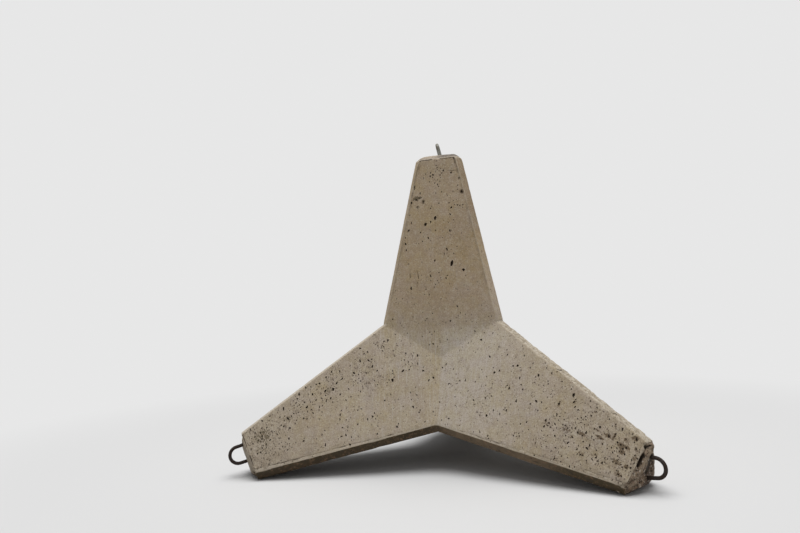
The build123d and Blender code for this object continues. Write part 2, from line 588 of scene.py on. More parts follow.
class BlockMesh:
    """Collects the polygons of all faces on shared points."""

    def __init__(self):
        self.points, self.polygons, self.owners, self.depths = [], [], [], []
        self.corners, self.sides = [], {}

    def add(self, point):
        self.points.append(point)
        return len(self.points) - 1

    def add_polygon(self, face, numbers, depth):
        self.polygons.append(numbers)
        self.owners.append(face)
        self.depths.append(depth)

    def places(self, numbers):
        return np.array([self.points[n] for n in numbers])

    def corner(self, point):
        for number in self.corners:
            if np.abs(self.points[number] - point).max() < 1e-5:
                return number
        self.corners.append(self.add(point))
        return self.corners[-1]

    def side(self, arm, a, b):
        """Numbers of the points from corner a to corner b, made once and shared by both faces."""
        key = (min(a, b), max(a, b))
        if key not in self.sides:
            start, end = self.points[key[0]], self.points[key[1]]
            made = [self.add(p) for p in side_samples(start, end, side_spacing(arm, (start + end) / 2))]
            self.sides[key] = [key[0], *made, key[1]]
        return self.sides[key] if a == key[0] else self.sides[key][::-1]


def seam_height(face, point):
    """How far a cast seam lies from the lower edge of a front face."""
    along = point @ ARM_AXES[face.arm]
    return 0.019 + 0.006 * rough(point, 0.07, 8) + 0.004 * rough(point, 0.3, 9) + 0.008 * (along - 1.2)


def height_over_strip(face, point):
    """How far a point of a lower arm's front face lies from that face's lower edge."""
    normal, distance = face.plane("strip", "right" if face.arm == "left" else "left")
    return (distance - point @ normal) / math.sqrt(1 - (normal @ face.normal) ** 2)


def is_crease(face, middle):
    """True where a side of a face is a mitre between two arms."""
    own = ARM_AXES[face.arm]
    return any(abs(middle @ (own - axis)) < 1e-6 for arm, axis in ARM_AXES.items() if arm != face.arm)


def edge_rows(face, outline):
    """Rows of points along the sides of a face."""
    rows = []
    for start, end, inwards in zip(outline.starts, outline.corners, outline.inwards):
        middle = face.solid((start + end) / 2)
        samples = side_samples(start, end, side_spacing(face.arm, middle))
        for depth in CREASE_ROWS if is_crease(face, middle) else EDGE_ROWS.get(face.kind, END_ROWS):
            rows += [p for p in (s + inwards * depth for s in samples) if outline.depth(p) > depth * 0.995]
    return rows


def seam_rows(face, outline):
    """Rows of points on both sides of the seam."""
    rows = []
    for start, end, inwards in zip(outline.starts, outline.corners, outline.inwards):
        if abs(height_over_strip(face, face.solid((start + end) / 2))) < 1e-6:
            for sample in side_samples(start, end, 0.010):
                height = seam_height(face, face.solid(sample))
                rows += [sample + inwards * (height + offset) for offset in SEAM_ROWS]
    return [p for p in rows if outline.depth(p) > SEAM_TO_EDGE]


def mark_rows(face):
    """Rows of points along the narrow marks of a face."""
    rows = []
    for start, end, width, _, _ in MARK_LINES[face.arm]:
        from_the_face = abs((start + end) / 2 @ face.normal - face.origin @ face.normal)
        if width > NARROW_MARK or from_the_face > 0.009:
            continue
        start, end = face.flat(start), face.flat(end)
        along = unit(end - start)
        aside = np.array((-along[1], along[0]))
        past = along * width * 0.4
        between_ends = side_samples(start, end, max(width * 0.4, 0.0028))
        stations = [start - past, start, *between_ends, end, end + past]
        for i, station in enumerate(stations):
            reach = 0.25 if i in (0, len(stations) - 1) else 0.5
            rows += [station + aside * width * reach * k for k in (-1, -0.5, 0, 0.5, 1)]
    return rows


def points_under(face, patch, draw):
    """Close points under a stain, so that its outline is clear."""
    steps = int(max(patch.half_length, patch.half_width) * STAIN_REACH / STAIN_SPACING) + 1
    found = []
    for i in range(-steps, steps + 1):
        for k in range(-steps, steps + 1):
            a = (i + k % 2 / 2 + draw.uniform(-0.2, 0.2)) * STAIN_SPACING
            b = (k + draw.uniform(-0.2, 0.2)) * STAIN_SPACING
            point = patch.middle + a * patch.along + b * patch.sideways
            if patch_reach(patch, point) < STAIN_REACH:
                found.append(face.flat(point))
    return found


def grid_points(face, outline, draw):
    """Points inside a face: close ones under its stains and a loose grid elsewhere."""
    grid, low, high = [], outline.corners.min(0), outline.corners.max(0)
    last_row = EDGE_ROWS.get(face.kind, END_ROWS)[-1]
    stained = [patch for patch in face.patches if patch.brown >= CLEAR_STAIN]
    for number, patch in enumerate(stained):
        for point in points_under(face, patch, draw):
            if outline.depth(point) > last_row and not is_stained(stained[:number], face.solid(point)):
                grid.append(point)
    for spacing, nearest, furthest in grid_steps(face):
        clear, y, odd = last_row + 0.35 * min(spacing, 0.03), low[1], False
        while y < high[1]:
            x = low[0] + (spacing / 2 if odd else 0)
            while x < high[0]:
                point = np.array([v + draw.uniform(-0.2, 0.2) * spacing for v in (x, y)])
                solid = face.solid(point)
                if outline.depth(point) > clear and nearest <= solid @ ARM_AXES[face.arm] < furthest:
                    if not is_stained(stained, solid):
                        grid.append(point)
                x += spacing
            y += spacing * 0.866
            odd = not odd
    return grid


def inner_points(face, outline, draw):
    """Points inside a face: rows along its sides, its seam and its marks, and those of the grid."""
    points = edge_rows(face, outline) + grid_points(face, outline, draw)
    if face.has_seam():
        def off_the_seam(p):
            solid = face.solid(p)
            return abs(height_over_strip(face, solid) - seam_height(face, solid)) > POINT_TO_SEAM
        points = [p for p in points if off_the_seam(p)] + seam_rows(face, outline)
    marks = [p for p in mark_rows(face) if outline.depth(p) > MARK_TO_EDGE]
    if marks:
        points = [p for p in points if all(d > 0.62 * w for d, w in marks_near(face.arm, face.solid(p)))]
    return points + marks


def mesh_face(face, mesh, draw):
    """Triangles of one face, with each bug hole's rim as one flat polygon that is sunk later."""
    corners = [mesh.corner(p) for p in face.outline]
    ring = []
    for i in range(len(corners)):
        ring += mesh.side(face.arm, corners[i - 1], corners[i])[:-1]
    outline = Outline(face.flat(mesh.places(corners)))
    holes = holes_in(face, outline, draw)
    inner = inner_points(face, outline, draw)
    if holes and inner:
        middles = np.array([h.middle for h in holes])
        reaches = np.array([h.reach for h in holes]) + RIM_TO_POINT
        inner = [p for p in inner if (np.hypot(*(middles - p).T) > reaches).all()]
    numbers = list(ring)
    flat_points = [Vector(p) for p in face.flat(mesh.places(ring))]

    def take(points):
        """Adds points of the face, and gives back where they are among its flat points."""
        first = len(flat_points)
        numbers.extend(mesh.add(face.solid(p)) for p in points)
        flat_points.extend(Vector(p) for p in points)
        return list(range(first, len(flat_points)))

    take(inner)
    loops = [list(range(len(ring))), *(take(hole.rim) for hole in holes)]
    made, _, triangles, sources, _, inside = delaunay_2d_cdt(flat_points, [], loops, 1, 1e-7)
    names = [numbers[s[0]] if s else mesh.add(face.solid(p)) for p, s in zip(made, sources)]
    for triangle, loops_round_it in zip(triangles, inside):
        if not any(k > 0 for k in loops_round_it):
            mesh.add_polygon(face, [names[i] for i in triangle], 0.0)
    for hole, loop in zip(holes, loops[1:]):
        mesh.add_polygon(face, [numbers[i] for i in loop], hole.depth)


# Casting and wear: how widely edges near each arm's end are rounded, evenly and in chips, and how high
# the lumps on the end are
END_ROUNDING = {"top": (0.006, 0.014), "left": (0.0, 0.005), "right": (0.010, 0.026), "back": (0.006, 0.014)}
END_LUMPS = {"top": 0.0022, "left": 0.0022, "right": 0.0075, "back": 0.0035}
# The left arm's end is worn back by this much at its front
LEFT_END_WORN = 0.021
# Rounding of the other edges, evenly and in chips
EDGE_ROUNDING, EDGE_CHIPS = 0.006, 0.035
# The seam's half width and depth, and how much lower the lip below it lies
SEAM_HALF_WIDTH, SEAM_DEPTH, LIP_DEPTH = 0.0026, 0.0030, 0.0016

# What every point of the mesh tells the finish
POINT_VALUES = ("edge_wear_and_highlight", "hole_shade", "end_face", "pitting", "stain", "washed_and_lit")


def worn_radius(face, point):
    """How widely wear has rounded the edges at a place."""
    x, y, below = in_arm(face.arm, point)
    chips = max(0.0, rough(point, 0.055, 1)) ** 1.5 * smooth_step(-0.1, 0.5, rough(point, 0.30, 2))
    radius = EDGE_ROUNDING + 0.0025 * rough(point, 0.2, 4) + EDGE_CHIPS * chips
    if face.arm == "right" and y > 0.15 and abs(x) < 0.06:
        radius += 0.003 + 0.028 * max(0.0, rough(point, 0.035, 5)) + 0.012 * max(0.0, rough(point, 0.09, 6))
    if below < 0.1:
        even, chipped = END_ROUNDING[face.arm]
        radius += even * smooth_step(0.1, 0.03, below) + chipped * max(0.0, rough(point, 0.04, 7))
    if point[2] < 0.012 - MEETING_POINT.z:
        radius = min(radius, 0.004)
    return radius


def washed_and_lit_at(face, point):
    """How much paler a place is painted, rain-washed and with painted light: the strips that face up, and the
    lip below the seam a little.
    """
    if face.kind == "strip":
        if face.normal[2] < 0.5:
            return 0.0
        return 0.5 if face.arm == "back" else 1.0
    if face.has_seam() and height_over_strip(face, point) < seam_height(face, point) - 0.002:
        return 0.45
    return 0.0


def mark_at(face, point):
    """How deep the marks are at a place, and how dark."""
    depth = dirt = 0.0
    if point @ ARM_AXES[face.arm] < MARKS_FROM:
        return depth, dirt
    for mark in MARK_LINES[face.arm]:
        distance = to_mark(point, mark)
        if distance < mark.width:
            distance += 0.12 * mark.width * rough(point, max(mark.width, 0.01), 17)
            share = 1 - smooth_step(0.12, 0.52, distance / mark.width)
            depth += share * mark.depth
            ragged = 1.0 if mark.dirt > 0.8 else min(1.0, 0.9 + 0.9 * rough(point, 0.03, 23))
            dirt = max(dirt, share * mark.dirt * ragged)
    return depth, dirt


def sunk_by(face, point):
    """How far casting and wear have lowered a place, apart from its edges, and how dark dirt and painted
    shade are there.
    """
    along = ARM_REACH - in_arm(face.arm, point)[2]
    sunk = 0.0011 * (1 + rough(point, 0.33, 11)) + 0.0005 * (1 + rough(point, 0.09, 12))
    if face.at_the_end():
        lumps = END_LUMPS[face.arm]
        sunk += lumps * (0.6 + rough(point, 0.045, 13)) * 0.7
        sunk += lumps * 0.35 * (1 + rough(point, 0.018, 14)) + lumps * 0.14 * (1 + rough(point, 0.009, 18))
        if face.arm == "left":
            to_the_front = -(point @ across(ARM_AXES["left"], ARM_AXES["back"]))
            sunk += LEFT_END_WORN * smooth_step(0.0, 0.09, to_the_front)
    elif along > 1.45:
        broken = 0.0030 if face.arm == "right" else 0.0015
        sunk += broken * smooth_step(1.45, 1.62, along) * max(0.0, rough(point, 0.05, 15) + 0.1)
    if face.kind == "strip" and face.arm == "right" and face.other == "top":
        sunk += 0.0045 * max(0.0, 0.25 + rough(point, 0.03, 19)) + 0.0012 * (1 + rough(point, 0.014, 20))
    depth, dirt = mark_at(face, point)
    if face.has_seam():
        gap = height_over_strip(face, point) - seam_height(face, point)
        strength = max(smooth_step(0.35, 0.6, along) * (0.7 + 0.5 * rough(point, 0.12, 16)), 0.15)
        line = math.exp(-((gap / SEAM_HALF_WIDTH) ** 2))
        sunk += strength * (SEAM_DEPTH * line + LIP_DEPTH * (1 - smooth_step(-0.003, 0.001, gap)))
        dirty = 0.17 + 0.80 * max(0.0, 0.12 + rough(point, 0.05, 22))
        dirt = max(dirt, min(strength * line * dirty, 1.0))
    return max(sunk, 0.0) + depth, dirt


def worn_point(face, point):
    """A point of a face after casting and wear, how much of an edge it is and how dark dirt and painted shade
    are there.
    """
    radius = worn_radius(face, point)
    inwards, dirt = sunk_by(face, point)
    direction, edge = face.normal.copy(), 0.0
    for _, _, normal, distance in face.planes:
        if normal is face.normal:
            continue
        overlap = radius - (distance - point @ normal)
        if overlap > 0:
            share = min(overlap / (2 * radius), 0.5)
            inwards += overlap * overlap / (4 * radius)
            direction += share * (normal - face.normal)
            edge = max(edge, share * 2)
    return point - direction * inwards / (direction @ direction), edge, dirt


def cast_block():
    """The whole block as a mesh of flat faces, worn edges and rims of bug holes still to be sunk."""
    draw = random.Random(41)
    mesh = BlockMesh()
    for face in block_faces():
        mesh_face(face, mesh, draw)
    total, weight = np.zeros((len(mesh.points), 3)), np.zeros(len(mesh.points))
    values = np.zeros((len(POINT_VALUES), len(mesh.points)))
    done = set()
    for polygon, face in zip(mesh.polygons, mesh.owners):
        for number in polygon:
            if (number, face) in done:
                continue
            done.add((number, face))
            point = mesh.points[number]
            moved, edge, dirt = worn_point(face, point)
            total[number] += moved
            weight[number] += 1
            pitting = min(crowding(face, point) / 1500, 1.0)
            here = (edge, dirt, face.at_the_end(), pitting, stain_at(face, point), washed_and_lit_at(face, point))
            values[:, number] = np.maximum(values[:, number], here)
    used = weight > 0
    renumber = np.cumsum(used) - 1
    places = total[used] / weight[used][:, None] + np.array(MEETING_POINT)
    data = bpy.data.meshes.new("concrete_block")
    data.from_pydata(places.tolist(), [], [renumber[polygon].tolist() for polygon in mesh.polygons])
    depth = data.attributes.new("hole_depth", "FLOAT", "FACE")
    depth.data.foreach_set("value", np.array(mesh.depths, np.float32))
    for name, row in zip(POINT_VALUES, values):
        attribute = data.attributes.new(name, "FLOAT", "POINT")
        attribute.data.foreach_set("value", row[used].astype(np.float32))
    run = data.uv_layers.new(name="face_run")
    flat = [face.flat(mesh.places(polygon)) for polygon, face in zip(mesh.polygons, mesh.owners)]
    run.data.foreach_set("uv", np.concatenate(flat).astype(np.float32).ravel())
    return new_piece("concrete", data)


def new_piece(name, data):
    """A new object in the scene: a mesh, a lamp or a camera."""
    piece = bpy.data.objects.new(name, data)
    bpy.context.scene.collection.objects.link(piece)
    return piece


class Nodes:
    """Short ways to add and join nodes in one material, group or geometry tree."""

    def __init__(self, tree):
        self.tree = tree

    def join(self, source, target):
        """Puts another node's output or a plain value on an input."""
        if isinstance(source, bpy.types.NodeSocket):
            self.tree.links.new(source, target)
        else:
            target.default_value = source

    def new(self, kind, inputs=None, **settings):
        node = self.tree.nodes.new(kind)
        for name, value in settings.items():
            setattr(node, name, value)
        for name, value in (inputs or {}).items():
            self.join(value, node.inputs[name])
        return node

    def math(self, operation, *values, clamp=False):
        inputs = dict(enumerate(values))
        return self.new("ShaderNodeMath", inputs, operation=operation, use_clamp=clamp).outputs[0]

    def product(self, first, *others):
        for value in others:
            first = self.math("MULTIPLY", first, value)
        return first

    def total(self, first, *others):
        for value in others:
            first = self.math("ADD", first, value)
        return first

    def less(self, a, b):
        return self.math("SUBTRACT", a, b)

    def between(self, value, low, high, to_low=0.0, to_high=1.0):
        """A smooth change from to_low to to_high as a value goes from low to high."""
        inputs = {"Value": value, "From Min": low, "From Max": high, "To Min": to_low, "To Max": to_high}
        return self.new("ShaderNodeMapRange", inputs, interpolation_type="SMOOTHSTEP").outputs["Result"]

    def noise(self, vector, scale, detail, roughness, distortion=0.0):
        inputs = {"Vector": vector, "Scale": scale, "Detail": detail, "Roughness": roughness}
        return self.new("ShaderNodeTexNoise", {**inputs, "Distortion": distortion}).outputs["Fac"]

    def parts(self, vector):
        """The outputs X, Y and Z of a vector."""
        return self.new("ShaderNodeSeparateXYZ", {0: vector}).outputs

    def stretched(self, run, width, length):
        """A place on a face, counted in widths across it and lengths down it."""
        run = self.parts(run)
        counts = {"X": self.math("DIVIDE", run["X"], width), "Y": self.math("DIVIDE", run["Y"], length)}
        return self.new("ShaderNodeCombineXYZ", counts).outputs[0]

    def mix(self, factor, a, b, blend="MIX"):
        node = self.new("ShaderNodeMix", data_type="RGBA", blend_type=blend)
        for name, source in (("Factor_Float", factor), ("A_Color", a), ("B_Color", b)):
            socket = next(s for s in node.inputs if s.identifier == name)
            self.join((*source, 1.0) if isinstance(source, tuple) else source, socket)
        return next(s for s in node.outputs if s.identifier == "Result_Color")

    def coats(self, color, *coats, blend="MIX"):
        """A colour with others laid over it in turn, each given as how much of it and which."""
        for amount, coat in coats:
            color = self.mix(amount, color, coat, blend)
        return color

    def group(self, tree, inputs):
        return self.new("ShaderNodeGroup", inputs, node_tree=tree).outputs

    def bump(self, height, distance, strength, **normal):
        inputs = {"Height": height, "Distance": distance, "Strength": strength, **normal}
        return self.new("ShaderNodeBump", inputs).outputs["Normal"]


def group_socket(tree, name, kind, value=None, output=False):
    socket = tree.interface.new_socket(name, in_out="OUTPUT" if output else "INPUT", socket_type=kind)
    if value is not None:
        socket.default_value = value


# Bug holes sunk by one rule: how deep the first, wider step is, how much its floor and the second
# step's are shrunk, from what depth there is a second step, and how soon a hole's floor is painted black as
# shade
BUG_HOLE_SHAPE = {
    "Wall Share": 0.62,
    "Wall Narrowing": 0.78,
    "Floor Narrowing": 0.6,
    "Deep From": 0.0060,
    "Darkening": 150.0,
    "Seed": 7,
}


def bug_hole_tree(material):
    """Sinks every face that has a hole depth: steep walls, then a smaller, deeper floor in larger holes, with
    painted shade on the floors.
    """
    tree = bpy.data.node_groups.new("sink_bug_holes", "GeometryNodeTree")
    group_socket(tree, "Geometry", "NodeSocketGeometry")
    for name, value in BUG_HOLE_SHAPE.items():
        group_socket(tree, name, "NodeSocketInt" if name == "Seed" else "NodeSocketFloat", value)
    group_socket(tree, "Geometry", "NodeSocketGeometry", output=True)
    n = Nodes(tree)
    given = n.new("NodeGroupInput").outputs

    def sunk(geometry, selection, depth, narrowing, shade):
        """Sinks the selected faces one by one, shrinks their floors and gives the floors a shade."""
        inputs = {"Mesh": geometry, "Selection": selection, "Individual": True}
        inputs["Offset Scale"] = n.product(depth, -1.0)
        extruded = n.new("GeometryNodeExtrudeMesh", inputs, mode="FACES").outputs
        inputs = {"Geometry": extruded["Mesh"], "Selection": extruded["Top"], "Scale": narrowing}
        shrunk = n.new("GeometryNodeScaleElements", inputs, domain="FACE").outputs["Geometry"]
        inputs = {"Geometry": shrunk, "Selection": extruded["Top"], "Name": "hole_shade", "Value": shade}
        shaded = n.new("GeometryNodeStoreNamedAttribute", inputs, data_type="FLOAT", domain="POINT")
        return shaded.outputs["Geometry"], extruded["Top"]

    named = n.new("GeometryNodeInputNamedAttribute", {"Name": "hole_depth"}, data_type="FLOAT")
    depth = named.outputs["Attribute"]
    limits = {"Min": 0.85, "Max": 1.2, "Seed": given["Seed"]}
    uneven = n.new("FunctionNodeRandomValue", limits, data_type="FLOAT").outputs["Value"]
    own_depth = n.product(depth, uneven)
    first_step = n.product(own_depth, given["Wall Share"])
    is_hole = n.math("GREATER_THAN", depth, 0.00001)
    # Painted shade: the deeper a hole, the darker its floor is coloured
    shade = n.math("MINIMUM", n.product(depth, given["Darkening"]), 1.0)
    walls, floors = sunk(given["Geometry"], is_hole, first_step, given["Wall Narrowing"], shade)
    is_deep = n.product(floors, n.math("GREATER_THAN", depth, given["Deep From"]))
    deep, _ = sunk(walls, is_deep, n.less(own_depth, first_step), given["Floor Narrowing"], 1.0)
    realized = n.new("GeometryNodeRealizeInstances", {"Geometry": deep}).outputs["Geometry"]
    finished = n.new("GeometryNodeSetMaterial", {"Geometry": realized, "Material": material})
    n.new("NodeGroupOutput", {"Geometry": finished.outputs["Geometry"]})
    return tree


def apply_tree(piece, tree, values):
    """Runs a geometry tree on a piece with these inputs and keeps the result as its plain mesh."""
    modifier = piece.modifiers.new(tree.name, "NODES")
    modifier.node_group = tree
    for item in tree.interface.items_tree:
        if item.in_out == "INPUT" and item.name in values:
            modifier[item.identifier] = values[item.name]
    bpy.context.view_layer.update()
    made = bpy.data.meshes.new_from_object(piece.evaluated_get(bpy.context.evaluated_depsgraph_get()))
    piece.modifiers.clear()
    old, piece.data = piece.data, made
    made.name = piece.name
    bpy.data.meshes.remove(old)


# Patterns that the finishes share
def shared_group(name, inputs, outputs):
    """The nodes and the inputs of a new shader group. An input without a value takes a vector."""
    tree = bpy.data.node_groups.new(name, "ShaderNodeTree")
    for socket_name, value in inputs.items():
        group_socket(tree, socket_name, "NodeSocketVector" if value is None else "NodeSocketFloat", value)
    for socket_name in outputs:
        group_socket(tree, socket_name, "NodeSocketFloat", output=True)
    n = Nodes(tree)
    return n, n.new("NodeGroupInput").outputs


def mottling_group():
    """Cloudy patches in three sizes, centred on a half, and fine specks."""
    inputs = {"Vector": None, "Patch Size": 0.5, "Contrast": 1.0}
    n, given = shared_group("mottling", inputs, ("Patches", "Specks"))
    vector, scale = given["Vector"], n.math("DIVIDE", 1.0, given["Patch Size"])
    wide = n.noise(vector, scale, 3.0, 0.5)
    middle = n.noise(vector, n.product(scale, 4.3), 4.0, 0.6)
    fine = n.noise(vector, n.product(scale, 23.0), 4.0, 0.65)
    blend = n.total(n.product(middle, 0.33), n.product(fine, 0.25), n.product(wide, 0.42))
    centred = n.product(n.less(blend, 0.5), n.product(given["Contrast"], 2.2))
    patches = n.math("ADD", centred, 0.5, clamp=True)
    specks = n.noise(vector, n.product(scale, 90.0), 2.0, 0.7)
    n.new("NodeGroupOutput", {"Patches": patches, "Specks": specks})
    return n.tree


def run_off_group():
    """Marks that water has left down a face, from the face's own level and downhill lengths."""
    n, given = shared_group("run_off", {"Run": None, "Width": 0.02, "Length": 0.4}, ("Marks",))
    run = n.stretched(given["Run"], given["Width"], given["Length"])
    n.new("NodeGroupOutput", {"Marks": n.noise(run, 1.0, 5.0, 0.62, 0.15)})
    return n.tree


MOTTLING = mottling_group()
RUN_OFF = run_off_group()

# Colours of the concrete
CREAM = (0.354, 0.294, 0.224)
PALE_CREAM = (0.460, 0.404, 0.328)
BROWNISH = (0.272, 0.214, 0.147)
LIME = (0.490, 0.450, 0.395)
# Worn edges are pale, and paler still with a painted highlight
WORN_EDGE_HIGHLIGHT = (0.430, 0.370, 0.285)
# Sand colours of the strips that face up, paler with painted light
STRIP_SAND, STRIP_PALE, STRIP_LEFT = (0.285, 0.232, 0.165), (0.545, 0.488, 0.400), (0.505, 0.446, 0.364)
BROWN_SPECK, BROWN_GRIT, PALE_GRIT = (0.150, 0.118, 0.080), (0.165, 0.130, 0.090), (0.56, 0.51, 0.42)
# Tints that multiply it
OLIVE_TINT, GREY_TINT, WARM_TINT = (1.00, 0.975, 0.850), (0.98, 1.00, 1.06), (0.995, 0.918, 0.800)
YELLOW_TINT, LILAC_TINT = (1.00, 0.970, 0.870), (1.03, 1.00, 1.03)
LOW_TINT, HIGH_TINT = (1.17, 1.20, 1.28), (0.87, 0.84, 0.81)
DAMP_TINT = (0.72, 0.72, 0.70)
# Colours of what lies on it, and of the painted shade in holes and marks and on the undersides
# Pin holes and bug holes are dark with dirt and painted shade
EARTH, PIN_HOLE_DIRT_AND_SHADE, BLACK_DIRT_AND_SHADE = (0.125, 0.089, 0.057), (0.085, 0.062, 0.041), (0.036, 0.025, 0.015)
OLIVE_STAIN, BROWN_STAIN = (0.118, 0.094, 0.054), (0.112, 0.078, 0.045)
# Undersides: damp brown with painted shade, darkest at the left and right
DAMP_AND_SHADE_LEFT, DAMP_AND_SHADE_MIDDLE, DAMP_AND_SHADE_RIGHT = (0.049, 0.031, 0.012), (0.137, 0.097, 0.057), (0.055, 0.037, 0.014)
RED_SPOT, WET_SPOT = (0.190, 0.112, 0.062), (0.026, 0.018, 0.012)
END_PALE, END_BROWN, END_DARK = (0.290, 0.218, 0.148), (0.108, 0.069, 0.041), (0.024, 0.015, 0.009)
END_RED, END_WHITE = (0.270, 0.145, 0.095), (0.600, 0.545, 0.470)
RIM_GREY, RIM_DIRT = (0.290, 0.252, 0.215), (0.105, 0.090, 0.078)
# Clean steel and rust of the grey bar and of the dark, rusty ones
GREY_STEEL, GREY_STEEL_RUST = (0.25, 0.25, 0.22), (0.10, 0.075, 0.050)
DARK_STEEL, DARK_RUST = (0.019, 0.015, 0.013), (0.033, 0.020, 0.013)


class Finish(Nodes):
    """A new material: its nodes, its shader and the place on the piece."""

    def __init__(self, name):
        self.material = bpy.data.materials.new(name)
        self.material.use_nodes = True
        super().__init__(self.material.node_tree)
        self.shader = self.tree.nodes["Principled BSDF"]
        self.place = self.new("ShaderNodeTexCoord").outputs["Object"]

    def patches(self, scale, detail, roughness, *limits):
        """Patches or specks: a random pattern taken between limits."""
        return self.between(self.noise(self.place, scale, detail, roughness), *limits)

    def coat(self, inputs):
        """Puts these values on the shader."""
        for name, value in inputs.items():
            self.join(value, self.shader.inputs[name])


class CastConcrete(Finish):
    """Old cast concrete. Each layer takes the colour below it and gives the colour with it on top."""

    def __init__(self):
        super().__init__("cast_concrete")
        self.run = self.new("ShaderNodeUVMap", uv_map="face_run").outputs["UV"]
        read = [self.new("ShaderNodeAttribute", attribute_name=name) for name in POINT_VALUES]
        values = (node.outputs["Fac"] for node in read)
        self.edge, self.hole, self.end, self.pitting, self.stain, self.washed_and_lit = values
        position = self.parts(self.place)
        self.x, self.y, self.height = position["X"], position["Y"], position["Z"]
        self.facing = self.parts(self.new("ShaderNodeNewGeometry").outputs["Normal"])
        squares = self.total(self.product(self.x, self.x), self.product(self.y, self.y))
        self.level_distance = self.math("SQRT", squares)
        self.cloudy = self.group(MOTTLING, {"Vector": self.place, "Patch Size": 0.42, "Contrast": 1.3})
        near_the_axis = self.between(self.level_distance, 1.05, 0.25)
        self.middle = self.product(near_the_axis, self.between(self.height, 1.06, 0.92))
        self.dirt = self.noise(self.place, 9.0, 5.0, 0.65)
        self.under = self.between(self.facing["Z"], -0.10, -0.45)
        self.rough_end = self.product(self.end, self.between(self.x, 0.9, 1.2))
        self.pins = self.pin_holes()

    def clouds(self):
        """Clouds of cream and brown, with olive, grey and warm tints."""
        color = self.mix(self.cloudy["Patches"], BROWNISH, PALE_CREAM)
        return self.coats(
            self.mix(0.35, color, CREAM),
            (self.patches(3.6, 4.0, 0.6, 0.46, 0.64), OLIVE_TINT),
            (self.patches(5.3, 4.0, 0.6, 0.50, 0.66), GREY_TINT),
            (self.between(self.height, 0.95, 1.3), WARM_TINT),
            blend="MULTIPLY",
        )

    def middle_and_ends(self, color):
        """Paler where the arms meet, limy right of the crease there and olive left of it, browner far out."""
        more_on_the_right = self.between(self.x, -0.2, 0.25, 0.42, 0.85)
        right_of_crease = self.between(self.x, -0.004, 0.03)
        left_of_crease = self.product(self.between(self.x, -0.17, -0.03), self.between(self.x, 0.012, -0.004))
        color = self.coats(
            color,
            (self.product(self.middle, more_on_the_right), PALE_CREAM),
            (self.product(self.middle, right_of_crease, 0.52), LIME),
        )
        tints = self.mix(self.patches(13.0, 4.0, 0.65, 0.38, 0.62), YELLOW_TINT, LILAC_TINT)
        color = self.coats(
            color,
            (self.product(self.middle, left_of_crease, 0.85), OLIVE_TINT),
            (0.8, tints),
            blend="MULTIPLY",
        )
        far_aside = self.between(self.level_distance, 1.0, 1.5)
        far_out = self.math("MAXIMUM", far_aside, self.between(self.height, 1.95, 2.4))
        return self.coats(
            color,
            (self.product(far_out, self.patches(7.0, 4.0, 0.6, 0.42, 0.62), 0.30), BROWNISH),
            (self.between(self.x, -0.8, -1.2, 0.0, 0.35), PALE_CREAM),
        )

    def blotches_and_streaks(self, color):
        """Blotches a hand wide, and dark and pale streaks that water has left, palest in the middle."""
        blotch = self.noise(self.place, 25.0, 4.0, 0.65)
        streaks = self.group(RUN_OFF, {"Run": self.run, "Width": 0.012, "Length": 0.26})["Marks"]
        pale_streaks = self.product(self.between(streaks, 0.50, 0.68), self.total(self.middle, 0.30), 0.50)
        return self.coats(
            color,
            (self.between(blotch, 0.34, 0.50, 0.30, 0.0), BROWNISH),
            (self.between(blotch, 0.50, 0.66, 0.0, 0.30), PALE_CREAM),
            (self.between(streaks, 0.28, 0.50, 0.26, 0.0), BROWNISH),
            (pale_streaks, LIME),
        )

    def strips(self, color):
        """The strips that face up, rain-washed and painted paler as painted light, and the upright arm's
        right strip: browner high up, paler low down.
        """
        # Painted light: the strips that face up are painted paler
        sandy = self.mix(self.patches(48.0, 4.0, 0.7, 0.40, 0.60), STRIP_SAND, STRIP_PALE)
        sandy = self.mix(self.between(self.x, 0.1, -0.3), sandy, STRIP_LEFT)
        color = self.mix(self.product(self.washed_and_lit, 0.85), color, sandy)
        to_the_right = self.less(self.product(self.facing["X"], 0.866), self.product(self.facing["Y"], 0.5))
        on_the_strip = self.between(to_the_right, 0.84, 0.94)
        tint = self.mix(self.between(self.height, 1.55, 1.90), LOW_TINT, HIGH_TINT)
        amount = self.product(on_the_strip, self.between(self.height, 0.90, 1.05))
        return self.mix(amount, color, tint, "MULTIPLY")

    def sand(self, color):
        """Sandy specks, fine and coarse."""
        grit = self.noise(self.place, 105.0, 3.0, 0.75)
        return self.coats(
            color,
            (self.between(self.cloudy["Specks"], 0.34, 0.58, 0.34, 0.0), BROWN_SPECK),
            (self.between(grit, 0.30, 0.50, 0.34, 0.0), BROWN_GRIT),
            (self.between(grit, 0.50, 0.70, 0.0, 0.42), PALE_GRIT),
        )

    def stains(self, color):
        """Brown stains in the pitted patches, and earth here and there among the pits."""
        ragged = self.product(self.less(self.noise(self.place, 92.0, 5.0, 0.75), 0.5), 2.8)
        patchy = self.between(self.total(self.stain, ragged), 0.42, 0.66)
        stained = self.product(patchy, self.between(self.stain, 0.0, 0.5, 0.0, 0.92))
        stain_color = self.mix(self.between(self.x, -0.3, 0.1), OLIVE_STAIN, BROWN_STAIN)
        among_pits = self.between(self.pitting, 0.10, 0.85)
        earthy = self.product(among_pits, self.patches(30.0, 4.0, 0.75, 0.53, 0.68), 0.55)
        return self.coats(color, (stained, stain_color), (earthy, EARTH))

    def foot_and_undersides(self, color):
        """Dirt at the foot, and undersides in damp brown darkened further as painted shade, darkest far out
        to the left and right.
        """
        low = self.product(self.between(self.height, 0.30, 0.02), self.between(self.dirt, 0.42, 0.66), 0.5)
